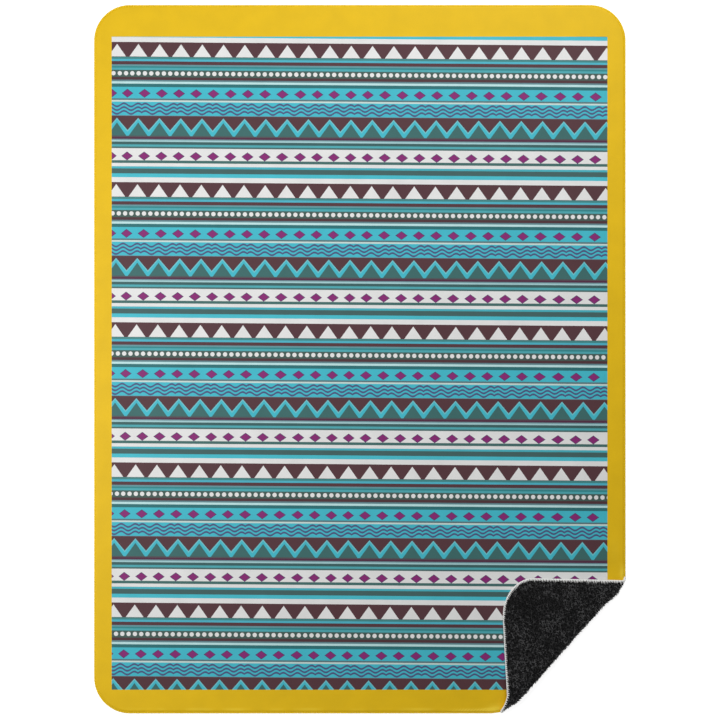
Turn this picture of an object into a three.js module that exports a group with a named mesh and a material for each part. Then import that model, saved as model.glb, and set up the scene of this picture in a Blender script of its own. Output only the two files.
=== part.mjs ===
// Sherpa blanket of 60 x 80 in, laid flat with its lower right corner turned over.
// Millimetres, +Z up: X runs across the blanket and Y along it, towards its upper hem.
// The cloth is described flat first, then every point of it is laid down by one fold.
import * as THREE from "three";

const { lerp, smoothstep, degToRad } = THREE.MathUtils;

// Finished blanket
const WIDTH = 1524;
const LENGTH = 2032;
const CORNER_RADIUS = 101.6;

// Layers of the cloth, and the air between any two pieces
const SHERPA = 5.9;
const FACE = 1.8;
const GAP = 0.3;
const THICKNESS = SHERPA + GAP + FACE;

// Overlocked seam: thread wrapped round the rim, with both layers crushed inside it
const THREAD = 0.6;
const STITCH_REACH = 6.7;
const SEAM_SHERPA = 2.6;
const SEAM_FACE = 1.2;
const SEAM_FOOT = GAP;
const CLOTH_RIM = THREAD + GAP;
const SEAM_END = STITCH_REACH + GAP;
const SOFT_EDGE = 22;

// Turned corner: the fold's outer line, measured from the corner along the side and the hem
const FOLD_ON_SIDE = 381.2;
const FOLD_ON_HEM = 339.9;

// Bend of the cloth in the fold: tight at the side, loose at the hem
const BEND_AT_SIDE = 5.2;
const BEND_AT_HEM = 13;

// Flap past the bend: it sinks to rest just above the face, stretched and slid a little
const REST_GAP = 2;
const SETTLE_LENGTH = 8;
const FLAP_STRETCH = 1.089;
const FLAP_SLIDE = 0.223;
const SWELL = 3;
const SWELL_LENGTH = 150;
const SWELL_EDGE = 66;

// Dents and bumps of the fold's outer line: place along the fold, size outward, half length
const FOLD_BUMPS = [
  { at: 44, out: 7.5, half: 58 },
  { at: 128, out: 1.6, half: 95 },
  { at: 500, out: -3.2, half: 60 },
];

// Hem end of the fold: how far the turned cloth swings across and along it, and how near
const HEM_SWING = { across: -11, along: 28, reach: 60 };

// Fineness of the solids: depths in from the rim, counts, lengths, angles and levels
const EDGE_DEPTHS = [CLOTH_RIM, SEAM_END, 13, SOFT_EDGE];
const INNER_COLUMNS = 5;
const LONGEST_COURSE = 260;
const LAST_FLAT_LEVEL = -60;
const BEND_STEPS = 28;
const ARC_STEPS = 8;
const TIP_ANGLES = [7, 17, 27, 36, 43, 49];
const SETTLE_STEPS = [15, 32, 52, 75, 100, 128];
const TIP_MARGIN = 1.2;
const SEARCH_SPAN = 2 * LENGTH;
const PRECISION = 1e-6;

// The fold's own directions on the flat cloth: along it from side to hem, and across it
const foldTop = new THREE.Vector2(WIDTH / 2, FOLD_ON_SIDE - LENGTH / 2);
const foldFoot = new THREE.Vector2(WIDTH / 2 - FOLD_ON_HEM, -LENGTH / 2);
const foldLength = foldTop.distanceTo(foldFoot);
const along = foldFoot.clone().sub(foldTop).normalize();
const across = new THREE.Vector2(-along.y, along.x);

function flatPoint(level, t) {
  return foldTop.clone().addScaledVector(across, level).addScaledVector(along, t);
}

// Distance in from the finished rim, on the flat cloth
function depthOf(point) {
  const x = Math.abs(point.x) - WIDTH / 2 + CORNER_RADIUS;
  const y = Math.abs(point.y) - LENGTH / 2 + CORNER_RADIUS;
  const past = Math.hypot(Math.max(x, 0), Math.max(y, 0));
  return CORNER_RADIUS - past - Math.min(Math.max(x, y), 0);
}

// How far the crushed cloth of the seam has recovered: 0 in the seam, 1 in the field
function loft(depth) {
  return smoothstep(depth, SEAM_END, SOFT_EDGE);
}

const seamHeights = { low: SEAM_FOOT };
seamHeights.sherpaLow = seamHeights.low + THREAD + GAP;
seamHeights.sherpaHigh = seamHeights.sherpaLow + SEAM_SHERPA;
seamHeights.faceLow = seamHeights.sherpaHigh + GAP;
seamHeights.faceHigh = seamHeights.faceLow + SEAM_FACE;
seamHeights.high = seamHeights.faceHigh + GAP + THREAD;

const fieldHeights = {
  sherpaLow: 0,
  sherpaHigh: SHERPA,
  faceLow: SHERPA + GAP,
  faceHigh: THICKNESS,
};

function heightOf(surface, depth) {
  return lerp(seamHeights[surface], fieldHeights[surface], loft(depth));
}

function bendAt(t) {
  return lerp(BEND_AT_SIDE, BEND_AT_HEM, THREE.MathUtils.clamp(t / foldLength, 0, 1));
}

function foldStart(t) {
  return -bendAt(t) - THICKNESS / 2;
}

function foldBump(t) {
  const share = (bump) => 1 - smoothstep(Math.abs(t - bump.at), 0, bump.half);
  return FOLD_BUMPS.reduce((sum, bump) => sum + bump.out * share(bump), 0);
}

// Lays a point of the cloth, at a height above its underside, in its place on the floor
function lay(point, height) {
  const offset = point.clone().sub(foldTop);
  const level = offset.dot(across);
  const t = offset.dot(along);
  const bend = bendAt(t);
  const past = level - foldStart(t);
  if (past <= 0) return new THREE.Vector3(point.x, point.y, height);

  const depth = depthOf(point);
  const turn = Math.min(past / bend, Math.PI);
  const free = Math.max(0, past - Math.PI * bend);
  const turned = smoothstep(turn, 0, Math.PI);
  const seamDrop = (THICKNESS - seamHeights.high) * (1 - loft(depth)) * turned;
  const radius = bend + THICKNESS / 2 - height - seamDrop;
  const fall = 2 * bend - THICKNESS - REST_GAP;
  const sink = fall * smoothstep(free, 0, SETTLE_LENGTH * bend);
  const wave = Math.sin((Math.PI * Math.min(free, SWELL_LENGTH)) / SWELL_LENGTH) ** 2;
  const swell = SWELL * wave * smoothstep(depth, SOFT_EDGE, SWELL_EDGE);

  const bulge = (radius + foldBump(t)) * Math.sin(turn);
  const atHem = turned * (1 - smoothstep(point.distanceTo(foldFoot), 0, HEM_SWING.reach));
  const out = foldStart(t) + bulge - free * FLAP_STRETCH + atHem * HEM_SWING.across;
  const placed = flatPoint(out, t - free * FLAP_SLIDE + atHem * HEM_SWING.along);
  const z = THICKNESS / 2 + bend - radius * Math.cos(turn) - sink + swell;
  return new THREE.Vector3(placed.x, placed.y, z);
}

// Courses are lines of the cloth beside the fold, each a level past it for every t
function cornerCentre(x, y) {
  const inner = new THREE.Vector2(WIDTH / 2 - CORNER_RADIUS, LENGTH / 2 - CORNER_RADIUS);
  return new THREE.Vector2(x * inner.x, y * inner.y);
}

function levelOf(point) {
  return point.clone().sub(foldTop).dot(across);
}

function tipLevels(centre, side) {
  const radius = CORNER_RADIUS - CLOTH_RIM;
  return TIP_ANGLES.map((angle) => levelOf(centre) + side * radius * Math.cos(degToRad(angle)));
}

function arcLevels(centre, side) {
  const turns = Array.from({ length: ARC_STEPS + 1 }, (_, i) => (i * Math.PI) / 2 / ARC_STEPS);
  const outward = (turn) => new THREE.Vector2(side * Math.cos(turn), side * Math.sin(turn));
  const rim = (turn) => centre.clone().addScaledVector(outward(turn), CORNER_RADIUS);
  return turns.map((turn) => levelOf(rim(turn)));
}

// Adds levels wherever two neighbours are further apart than the longest course
function fillIn(levels) {
  const filled = [levels[0]];
  for (const level of levels.slice(1)) {
    const last = filled[filled.length - 1];
    const parts = Math.ceil((level - last) / LONGEST_COURSE);
    for (let i = 1; i <= parts; i += 1) filled.push(lerp(last, level, i / parts));
  }
  return filled;
}

function makeCourses() {
  const flat = [
    ...tipLevels(cornerCentre(-1, 1), -1),
    ...arcLevels(cornerCentre(1, 1), 1),
    ...arcLevels(cornerCentre(-1, -1), -1),
    LAST_FLAT_LEVEL,
  ].sort((a, b) => a - b);
  const level = (value) => () => value;
  const bent = (share) => (t) => foldStart(t) + share * Math.PI * bendAt(t);
  const settled = (free) => (t) => bent(1)(t) + free;
  return [
    ...fillIn(flat).map(level),
    ...Array.from({ length: BEND_STEPS + 1 }, (_, i) => bent(i / BEND_STEPS)),
    ...SETTLE_STEPS.map(settled),
    ...tipLevels(cornerCentre(1, -1), 1).sort((a, b) => a - b).map(level),
  ];
}

// The place along a course where the cloth lies deepest in from the rim
function ridgeOf(course) {
  let low = -SEARCH_SPAN;
  let high = SEARCH_SPAN;
  const depth = (t) => depthOf(flatPoint(course(t), t));
  while (high - low > PRECISION) {
    const third = (high - low) / 3;
    if (depth(low + third) < depth(high - third)) low += third;
    else high -= third;
  }
  return (low + high) / 2;
}

// The place along a course, to one side of its ridge, at a depth in from the rim
function placeAt(course, ridge, side, depth) {
  let inside = 0;
  let outside = SEARCH_SPAN;
  while (outside - inside > PRECISION) {
    const middle = (inside + outside) / 2;
    const t = ridge + side * middle;
    if (depthOf(flatPoint(course(t), t)) > depth) inside = middle;
    else outside = middle;
  }
  return ridge + side * inside;
}

// Points of the flat cloth on one course, from one rim to the other
function columnsOf(course) {
  const ridge = ridgeOf(course);
  const deepest = depthOf(flatPoint(course(ridge), ridge));
  const room = Math.min(1, (deepest - CLOTH_RIM) / (SOFT_EDGE - CLOTH_RIM) / TIP_MARGIN);
  const depths = EDGE_DEPTHS.map((depth) => CLOTH_RIM + (depth - CLOTH_RIM) * room);
  const near = depths.map((depth) => placeAt(course, ridge, -1, depth));
  const far = depths.map((depth) => placeAt(course, ridge, 1, depth)).reverse();
  const inner = Array.from({ length: INNER_COLUMNS }, (_, i) =>
    lerp(near[near.length - 1], far[0], (i + 1) / (INNER_COLUMNS + 1)),
  );
  return [...near, ...inner, ...far].map((t) => flatPoint(course(t), t));
}

const courses = makeCourses();
const grid = courses.map(columnsOf);

function meshOf(name, points, triangles, material) {
  const geometry = new THREE.BufferGeometry().setFromPoints(points);
  geometry.setIndex(triangles.flat());
  geometry.computeVertexNormals();
  const mesh = new THREE.Mesh(geometry, material);
  mesh.name = name;
  return mesh;
}

// A panel of the cloth: the surfaces below and above it, joined all round the rim
function panel(name, below, above, material) {
  const columns = grid[0].length;
  const surface = (which) =>
    grid.flat().map((point) => lay(point, heightOf(which, depthOf(point))));
  const points = [...surface(below), ...surface(above)];
  const low = (row, column) => row * columns + column;
  const high = (row, column) => grid.length * columns + low(row, column);
  const triangles = [];
  const quad = (a, b, c, d) => triangles.push([a, b, c], [a, c, d]);
  const last = { row: grid.length - 1, column: columns - 1 };
  for (let i = 0; i < last.row; i += 1) {
    for (let j = 0; j < last.column; j += 1) {
      quad(high(i, j), high(i, j + 1), high(i + 1, j + 1), high(i + 1, j));
      quad(low(i, j), low(i + 1, j), low(i + 1, j + 1), low(i, j + 1));
    }
    quad(low(i, 0), high(i, 0), high(i + 1, 0), low(i + 1, 0));
    const c = last.column;
    quad(high(i, c), low(i, c), low(i + 1, c), high(i + 1, c));
  }
  for (let j = 0; j < last.column; j += 1) {
    quad(high(0, j), low(0, j), low(0, j + 1), high(0, j + 1));
    const r = last.row;
    quad(low(r, j), high(r, j), high(r, j + 1), low(r, j + 1));
  }
  return meshOf(name, points, triangles, material);
}

// A point of the seam, at a depth in from the rim, abreast of one end of a course
function seamPoint(course, side, depth) {
  const ridge = ridgeOf(course);
  const rim = placeAt(course, ridge, side, CLOTH_RIM);
  const deepest = depthOf(flatPoint(course(ridge), ridge));
  if (deepest < SOFT_EDGE) {
    const point = flatPoint(course(rim), rim);
    const centre = cornerCentre(Math.sign(point.x), Math.sign(point.y));
    return point.sub(centre).setLength(CORNER_RADIUS - depth).add(centre);
  }
  const t = placeAt(course, ridge, side, depth);
  return flatPoint(course(t), t);
}

// The overlock thread: a channel that wraps the rim, open towards the cloth
function overlock(name, material) {
  const { low, high } = seamHeights;
  const section = [
    { depth: 0, height: low },
    { depth: STITCH_REACH, height: low },
    { depth: STITCH_REACH, height: low + THREAD },
    { depth: THREAD, height: low + THREAD },
    { depth: THREAD, height: high - THREAD },
    { depth: STITCH_REACH, height: high - THREAD },
    { depth: STITCH_REACH, height: high },
    { depth: 0, height: high },
  ];
  const stations = [
    ...courses.map((course) => ({ course, side: -1 })),
    ...courses.map((course) => ({ course, side: 1 })).reverse(),
  ];
  const points = stations.flatMap(({ course, side }) =>
    section.map(({ depth, height }) => lay(seamPoint(course, side, depth), height)),
  );
  const at = (station, corner) =>
    (station % stations.length) * section.length + (corner % section.length);
  const triangles = [];
  for (let i = 0; i < stations.length; i += 1) {
    for (let j = 0; j < section.length; j += 1) {
      triangles.push([at(i, j), at(i + 1, j + 1), at(i, j + 1)]);
      triangles.push([at(i, j), at(i + 1, j), at(i + 1, j + 1)]);
    }
  }
  return meshOf(name, points, triangles, material);
}

const sherpaPile = new THREE.MeshStandardMaterial({ color: 0x1e1e1f, roughness: 0.95 });
const printedPlush = new THREE.MeshStandardMaterial({ color: 0xe0c030, roughness: 0.85 });
const whiteThread = new THREE.MeshStandardMaterial({ color: 0xe8e6e0, roughness: 0.7 });

const blanket = new THREE.Group();
blanket.add(
  panel("sherpa_panel", "sherpaLow", "sherpaHigh", sherpaPile),
  panel("face_panel", "faceLow", "faceHigh", printedPlush),
  overlock("edge_overlock", whiteThread),
);

// The fold's bulge passes the side a little, so the whole is centred by its own box
const box = new THREE.Box3().setFromObject(blanket);
blanket.position.set(-(box.min.x + box.max.x) / 2, -(box.min.y + box.max.y) / 2, 0);

export default blanket;
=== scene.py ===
import bmesh
import bpy
import math
import numpy as np
from mathutils import Matrix, Vector, noise


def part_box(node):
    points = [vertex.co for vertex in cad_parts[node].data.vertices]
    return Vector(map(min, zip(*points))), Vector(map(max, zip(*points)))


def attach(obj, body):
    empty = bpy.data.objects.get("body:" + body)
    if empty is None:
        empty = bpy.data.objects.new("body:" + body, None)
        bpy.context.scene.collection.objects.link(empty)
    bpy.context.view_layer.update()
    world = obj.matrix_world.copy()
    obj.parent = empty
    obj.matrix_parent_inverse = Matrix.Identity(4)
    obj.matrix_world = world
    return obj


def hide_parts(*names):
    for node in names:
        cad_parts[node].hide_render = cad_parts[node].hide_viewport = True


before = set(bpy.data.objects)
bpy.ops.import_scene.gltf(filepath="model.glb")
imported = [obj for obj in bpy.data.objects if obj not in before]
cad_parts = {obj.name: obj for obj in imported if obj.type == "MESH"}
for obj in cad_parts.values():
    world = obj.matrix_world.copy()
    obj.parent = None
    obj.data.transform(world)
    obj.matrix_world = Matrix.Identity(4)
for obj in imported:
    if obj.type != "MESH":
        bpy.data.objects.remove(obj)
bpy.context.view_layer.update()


# Camera. It hangs 4.9 m above the floor and looks straight down, with the hem away from
# the turned corner at the top of the picture, so the outline stays a plain rectangle.
CAMERA_HEIGHT = 4.8853
CAMERA_ASIDE = -0.00045
CAMERA_BELOW = 0.0012

camera_data = bpy.data.cameras.new("camera")
camera_data.type = "PERSP"
camera_data.lens = 85
camera_data.sensor_width = 36
camera = bpy.data.objects.new("camera", camera_data)
bpy.context.collection.objects.link(camera)
camera.location = (CAMERA_ASIDE, -CAMERA_BELOW, CAMERA_HEIGHT)
bpy.context.scene.camera = camera
bpy.context.scene.view_settings.view_transform = "Standard"


# Floor and studio light. A plain pale floor, two large soft lights, beyond the far hem and
# beside the left edge, and an even white surround; the cloth dims towards its fold.
FLOOR_SIZE = 80
FLOOR_DROP = 0.0004
FLOOR_COLOUR = (0.52, 0.52, 0.52, 1)
FLOOR_LIGHT = (0.93, 0.93, 0.93, 1)
SURROUND = (1, 1, 1, 1)
SURROUND_STRENGTH = 0.30
FLOOR_GLOW = 0.90
FLOOR_ROUGHNESS = 0.95
FLOOR_SHINE = 0.1
HEM_LIGHT = (0.85, 2.38, 2.2)
HEM_POWER = 44.5
SIDE_LIGHT = (-1.85, -0.10, 2.2)
SIDE_POWER = 38
LIGHT_SIZE = 1.2

floor_mesh = bmesh.new()
bmesh.ops.create_grid(floor_mesh, x_segments=1, y_segments=1, size=FLOOR_SIZE / 2)
bmesh.ops.translate(floor_mesh, verts=floor_mesh.verts, vec=(0, 0, -FLOOR_DROP))
floor_data = bpy.data.meshes.new("floor")
floor_mesh.to_mesh(floor_data)
floor_mesh.free()
floor = bpy.data.objects.new("floor", floor_data)
bpy.context.collection.objects.link(floor)
floor_paint = bpy.data.materials.new("floor_paint")
floor_paint.use_nodes = True
floor_shader = floor_paint.node_tree.nodes["Principled BSDF"]
floor_shader.inputs["Base Color"].default_value = FLOOR_COLOUR
floor_shader.inputs["Roughness"].default_value = FLOOR_ROUGHNESS
floor_shader.inputs["Specular IOR Level"].default_value = FLOOR_SHINE
floor_shader.inputs["Emission Color"].default_value = FLOOR_LIGHT
floor_shader.inputs["Emission Strength"].default_value = FLOOR_GLOW
floor_data.materials.append(floor_paint)

world = bpy.data.worlds.new("studio")
world.use_nodes = True
world.node_tree.nodes["Background"].inputs["Color"].default_value = SURROUND
world.node_tree.nodes["Background"].inputs["Strength"].default_value = SURROUND_STRENGTH
bpy.context.scene.world = world


def add_light(name, place, size, power):
    """A square soft light, turned towards the middle of the cloth."""
    data = bpy.data.lights.new(name, "AREA")
    data.size = size
    data.energy = power
    light = bpy.data.objects.new(name, data)
    light.location = place
    light.rotation_euler = (-Vector(place)).to_track_quat("-Z", "Y").to_euler()
    bpy.context.collection.objects.link(light)


add_light("hem_light", HEM_LIGHT, LIGHT_SIZE, HEM_POWER)
add_light("side_light", SIDE_LIGHT, LIGHT_SIZE, SIDE_POWER)


# Sherpa backing. A black knitted ground with a dense curly pile, cut to the outline with
# its corners rounded. It is flat but for the lower right corner, which is turned over the
# face; its pile is crushed to a thin ridge where the seam holds it.
WIDTH = 1.524
LENGTH = 2.032
CORNER_RADIUS = 0.1016
THICKNESS = 0.008
SHERPA = 0.0059
CLOTH_RIM = 0.0009
SEAM_END = 0.007
SOFT_EDGE = 0.022
SEAM_HIGH = 0.0062
SEAM_SHERPA_LOW = 0.0012
SEAM_SHERPA_HIGH = 0.0038
FOLD_ON_SIDE = 0.3812
FOLD_ON_HEM = 0.3399
BEND_AT_SIDE = 0.0052
BEND_AT_HEM = 0.013
REST_GAP = 0.002
SETTLE_LENGTH = 8
FLAP_STRETCH = 1.089
FLAP_SLIDE = 0.223
SWELL = 0.003
SWELL_LENGTH = 0.150
SWELL_EDGE = 0.066
# Shallow bumps of the fold's outer line: place along it, how far out, and half length
FOLD_BUMPS = ((0.044, 0.0075, 0.058), (0.128, 0.0016, 0.095), (0.500, -0.0032, 0.060))
HEM_SWING = (-0.011, 0.028)
SWING_REACH = 0.060
HEM_PULL = 0.0055
PULL_REACH = 0.048
RISE = 0.0022
RISE_EDGE = 0.16
# Slow waves of the flat field: rate across, rate up, start, and share
RISE_WAVES = ((11.5, 3.1, 0.6, 1), (-4.7, 9.2, 2.1, 1), (19, -14.5, 1.3, 0.8), (8, 23, 0, 0.6))
RIDGE_PLACE = 0.402
RIDGE_HIGH = 0.0028
RIDGE_HALF = 0.010
RIDGE_GROWS = (0.004, 0.02)
RIDGE_FADES = (0.04, 0.09)
RIM_RINGS = (0.0026, 0.0045, 0.007, 0.0095, 0.013, 0.0175, 0.022)
CORNER_STEPS = 24
SHERPA_CELL = 0.024
PILE_CELL = 0.0023
PILE_HALF = (0.26, 0.28)
PILE_FROM = -0.026
PILE_FULL = -0.012
PILE_FADE = 0.012
NUB_SIZE = 0.0046
NUB_DEPTH = 0.0017
NUB_FILL = 1.25
PATCH_SCALE = 0.22
DENTS_FROM = (0.004, 0.02)
CREASE_BEND = 9
# Soft dents pressed into the pile of the turned corner: place across and up, direction in
# degrees, half length, half width and depth
CREASES = (
    (0.554, -0.742, -8, 0.022, 0.0036, 0.0032),
    (0.545, -0.750, 64, 0.012, 0.0034, 0.0018),
    (0.672, -0.697, 8, 0.016, 0.0042, 0.0028),
    (0.632, -0.751, 48, 0.030, 0.0038, 0.0024),
    (0.533, -0.827, 67, 0.014, 0.0036, 0.0018),
    (0.508, -0.892, 50, 0.022, 0.0060, 0.0018),
)

outer_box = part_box("edge_overlock")
CENTRE_X = outer_box[0][0] + WIDTH / 2
CENTRE_Y = outer_box[1][1] - LENGTH / 2

fold_top = np.array((WIDTH / 2, FOLD_ON_SIDE - LENGTH / 2))
fold_foot = np.array((WIDTH / 2 - FOLD_ON_HEM, -LENGTH / 2))
fold_length = np.linalg.norm(fold_foot - fold_top)
along = (fold_foot - fold_top) / fold_length
across = np.array((-along[1], along[0]))


def ease(value, low, high):
    """0 below low, 1 above high, and smooth between them."""
    share = np.clip((value - low) / (high - low), 0, 1)
    return share * share * (3 - 2 * share)


def depth_of(x, y):
    """Distance in from the finished rim, on the flat cloth."""
    past_x = np.abs(x) - WIDTH / 2 + CORNER_RADIUS
    past_y = np.abs(y) - LENGTH / 2 + CORNER_RADIUS
    past = np.hypot(np.maximum(past_x, 0), np.maximum(past_y, 0))
    return CORNER_RADIUS - past - np.minimum(np.maximum(past_x, past_y), 0)


def loft(depth):
    """0 in the crushed seam, 1 where the cloth has its full thickness."""
    return ease(depth, SEAM_END, SOFT_EDGE)


def level_of(x, y):
    """How far a flat place lies past the fold's line, towards the corner."""
    return (x - fold_top[0]) * across[0] + (y - fold_top[1]) * across[1]


def bend_at(t):
    """The bend's inner radius at a run along the fold."""
    return BEND_AT_SIDE + (BEND_AT_HEM - BEND_AT_SIDE) * np.clip(t / fold_length, 0, 1)


def near_foot(x, y, reach):
    """1 where the fold meets the hem, and 0 from reach away."""
    return 1 - ease(np.hypot(x - fold_foot[0], y - fold_foot[1]), 0, reach)


def rise_at(x, y):
    """How far limp cloth lies above the floor, with a ridge where the fold draws it."""
    waves = 0
    highest = 0
    for rate_x, rate_y, start, share in RISE_WAVES:
        waves = waves + share * np.sin(x * rate_x + y * rate_y + start)
        highest += share
    up = y + LENGTH / 2
    ridge = np.exp(-(((x - RIDGE_PLACE) / RIDGE_HALF) ** 2)) * ease(up, *RIDGE_GROWS)
    ridge = RIDGE_HIGH * ridge * (1 - ease(up, *RIDGE_FADES))
    share_up = 0.5 + waves / (2 * highest)
    return RISE * share_up * ease(depth_of(x, y), 0, RISE_EDGE) + ridge


def lay(x, y, height):
    """Lays points of the flat cloth, at heights above its underside, in their place."""
    level = level_of(x, y)
    t = (x - fold_top[0]) * along[0] + (y - fold_top[1]) * along[1]
    bend = bend_at(t)
    start = -bend - THICKNESS / 2
    past = level - start
    depth = depth_of(x, y)
    turn = np.clip(past / bend, 0, math.pi)
    free = np.maximum(0, past - math.pi * bend)
    turned = ease(turn, 0, math.pi)
    seam_drop = (THICKNESS - SEAM_HIGH) * (1 - loft(depth)) * turned
    radius = bend + THICKNESS / 2 - height - seam_drop
    fall = 2 * bend - THICKNESS - REST_GAP
    sink = fall * ease(free / bend, 0, SETTLE_LENGTH)
    wave = np.sin(math.pi * np.minimum(free, SWELL_LENGTH) / SWELL_LENGTH) ** 2
    swell = SWELL * wave * ease(depth, SOFT_EDGE, SWELL_EDGE)
    bump = sum(out * (1 - ease(np.abs(t - at), 0, half)) for at, out, half in FOLD_BUMPS)
    swing = turned * near_foot(x, y, SWING_REACH)
    out = start + (radius + bump) * np.sin(turn) - free * FLAP_STRETCH
    out = out + swing * HEM_SWING[0]
    slid = t - free * FLAP_SLIDE + swing * HEM_SWING[1]
    bent = past > 0
    placed_x = np.where(bent, fold_top[0] + across[0] * out + along[0] * slid, x)
    placed_y = np.where(bent, fold_top[1] + across[1] * out + along[1] * slid, y)
    z = THICKNESS / 2 + bend - radius * np.cos(turn) - sink + swell
    z = np.where(bent, z, height) + rise_at(placed_x, placed_y)
    placed_y = placed_y + HEM_PULL * near_foot(placed_x, placed_y, PULL_REACH)
    return np.stack((placed_x + CENTRE_X, placed_y + CENTRE_Y, z), axis=1)


def cut_sheet(cell):
    """The flat outline at the cloth's cut edge, with rings along its seam and a grid."""
    bm = bmesh.new()
    bmesh.ops.create_grid(bm, x_segments=1, y_segments=1, size=1)
    half = (WIDTH / 2 - CLOTH_RIM, LENGTH / 2 - CLOTH_RIM, 1)
    bmesh.ops.scale(bm, verts=bm.verts, vec=half)
    bmesh.ops.bevel(
        bm,
        geom=bm.verts[:],
        offset=CORNER_RADIUS - CLOTH_RIM,
        affect="VERTICES",
        segments=CORNER_STEPS,
        profile=0.5,
        material=-1,
    )
    bm.faces.ensure_lookup_table()
    inner = bm.faces[0]
    last = CLOTH_RIM
    for ring in RIM_RINGS:
        bmesh.ops.inset_individual(bm, faces=[inner], thickness=ring - last)
        last = ring
    everything = bm.verts[:] + bm.edges[:] + bm.faces[:]
    everything = cut_lines(bm, everything, (1, 0), half[0], cell)
    cut_lines(bm, everything, (0, 1), half[1], cell)
    return bm


def cut_lines(bm, parts, direction, half, cell, middle=(0, 0)):
    """Cuts the parts by evenly spaced lines square to direction, from -half to half."""
    normal = Vector((direction[0], direction[1], 0))
    count = int(2 * half / cell)
    for i in range(1, count):
        place = Vector((middle[0], middle[1], 0)) + normal * (2 * half * i / count - half)
        cut = bmesh.ops.bisect_plane(
            bm, geom=parts, dist=1e-6, plane_co=place, plane_no=normal
        )
        parts = cut["geom"]
    return parts


def parts_where(bm, wanted):
    """The faces whose middle is wanted, with their edges and corners."""
    faces = [face for face in bm.faces if wanted(face.calc_center_median())]
    edges = {edge for face in faces for edge in face.edges}
    corners = {vert for face in faces for vert in face.verts}
    return [*corners, *edges, *faces]


def thicken(bm):
    """Makes a closed sheet: the copy that becomes its upper side stands at z 1."""
    upper = bmesh.ops.extrude_face_region(bm, geom=bm.faces[:])["geom"]
    corners = [part for part in upper if isinstance(part, bmesh.types.BMVert)]
    bmesh.ops.translate(bm, verts=corners, vec=(0, 0, 1))
    bmesh.ops.recalc_face_normals(bm, faces=bm.faces)


def to_mesh(bm, name):
    """The finished mesh with its flat corner places, which also become its map."""
    mesh = bpy.data.meshes.new(name)
    bm.to_mesh(mesh)
    bm.free()
    flat = np.empty(len(mesh.vertices) * 3)
    mesh.vertices.foreach_get("co", flat)
    flat = flat.reshape(-1, 3)
    corner = np.empty(len(mesh.loops), dtype=int)
    mesh.loops.foreach_get("vertex_index", corner)
    cloth_map = mesh.uv_layers.new(name="OFBake")
    place = flat[corner, :2] / (WIDTH, LENGTH) + 0.5
    cloth_map.data.foreach_set("uv", place.ravel())
    mesh.polygons.foreach_set("use_smooth", np.ones(len(mesh.polygons), dtype=bool))
    return mesh, flat


def show(mesh, places, name):
    """Moves the mesh's corners to their places and adds it to the scene."""
    mesh.vertices.foreach_set("co", places.ravel())
    mesh.update()
    made = bpy.data.objects.new(name, mesh)
    bpy.context.collection.objects.link(made)
    return made


def crease_depth(x, y):
    """How deep the soft dents press the pile in, at places on the laid cloth."""
    depth = np.zeros_like(x)
    for at_x, at_y, degrees, length, width, deep in CREASES:
        turn = math.radians(degrees)
        run = (x - at_x) * math.cos(turn) + (y - at_y) * math.sin(turn)
        aside = (y - at_y) * math.cos(turn) - (x - at_x) * math.sin(turn)
        aside = aside + CREASE_BEND * run * run
        depth += deep * np.exp(-((run / length) ** 2) - (aside / width) ** 2)
    return depth


def pile_relief(x, y, placed):
    """How far in the ground lies between the nubs of the pile."""
    relief = np.zeros_like(x)
    deep = depth_of(x, y)
    for i in np.flatnonzero((level_of(x, y) > PILE_FROM) & (deep > SEAM_END)):
        spot = Vector((x[i] / NUB_SIZE, y[i] / NUB_SIZE, 0))
        near = noise.voronoi(spot)[0][0]
        patch = noise.noise(spot * PATCH_SCALE)
        relief[i] = NUB_DEPTH * min(1, near * NUB_FILL) * (0.8 + 0.5 * patch)
    level = level_of(x, y)
    relief *= ease(deep, SEAM_END, PILE_FADE) * ease(level, PILE_FROM, PILE_FULL)
    dents = crease_depth(placed[:, 0] - CENTRE_X, placed[:, 1] - CENTRE_Y)
    return relief + dents * ease(level, *DENTS_FROM)


sherpa_cut = cut_sheet(SHERPA_CELL)
flap_middle = fold_top + along * fold_length / 2
flap_parts = parts_where(sherpa_cut, lambda p: level_of(p.x, p.y) > PILE_FROM)
flap_parts = cut_lines(
    sherpa_cut, flap_parts, across, PILE_HALF[0], PILE_CELL, flap_middle
)
cut_lines(sherpa_cut, flap_parts, along, PILE_HALF[1], PILE_CELL, flap_middle)
thicken(sherpa_cut)
sherpa_mesh, sherpa_flat = to_mesh(sherpa_cut, "sherpa_backing")
sherpa_x, sherpa_y, is_upper = sherpa_flat.T
sherpa_loft = loft(depth_of(sherpa_x, sherpa_y))
sherpa_low = SEAM_SHERPA_LOW * (1 - sherpa_loft)
sherpa_high = SEAM_SHERPA_HIGH + (SHERPA - SEAM_SHERPA_HIGH) * sherpa_loft
smooth_places = lay(sherpa_x, sherpa_y, sherpa_low)
sherpa_low = sherpa_low + pile_relief(sherpa_x, sherpa_y, smooth_places)
sherpa_height = np.where(is_upper > 0.5, sherpa_high, sherpa_low)
sherpa_places = lay(sherpa_x, sherpa_y, sherpa_height)
sherpa = show(sherpa_mesh, sherpa_places, "sherpa_backing")


def add_node(tree, kind, inputs=None, **settings):
    """A new node. inputs names or numbers its sockets, each with a value or a link."""
    made = tree.nodes.new(kind)
    for name, value in settings.items():
        setattr(made, name, value)
    for key, value in (inputs or {}).items():
        if isinstance(value, bpy.types.NodeSocket):
            tree.links.new(value, made.inputs[key])
        else:
            made.inputs[key].default_value = value
    return made


def calc(tree, operation, *values):
    """The output of a math node."""
    return add_node(
        tree, "ShaderNodeMath", dict(enumerate(values)), operation=operation
    ).outputs[0]


def srgb(red, green, blue):
    """A colour as a screen shows it, 0 to 255, in the scene's linear numbers."""
    parts = [value / 255 for value in (red, green, blue)]
    return (*[p / 12.92 if p < 0.04 else ((p + 0.055) / 1.055) ** 2.4 for p in parts], 1)


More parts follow.
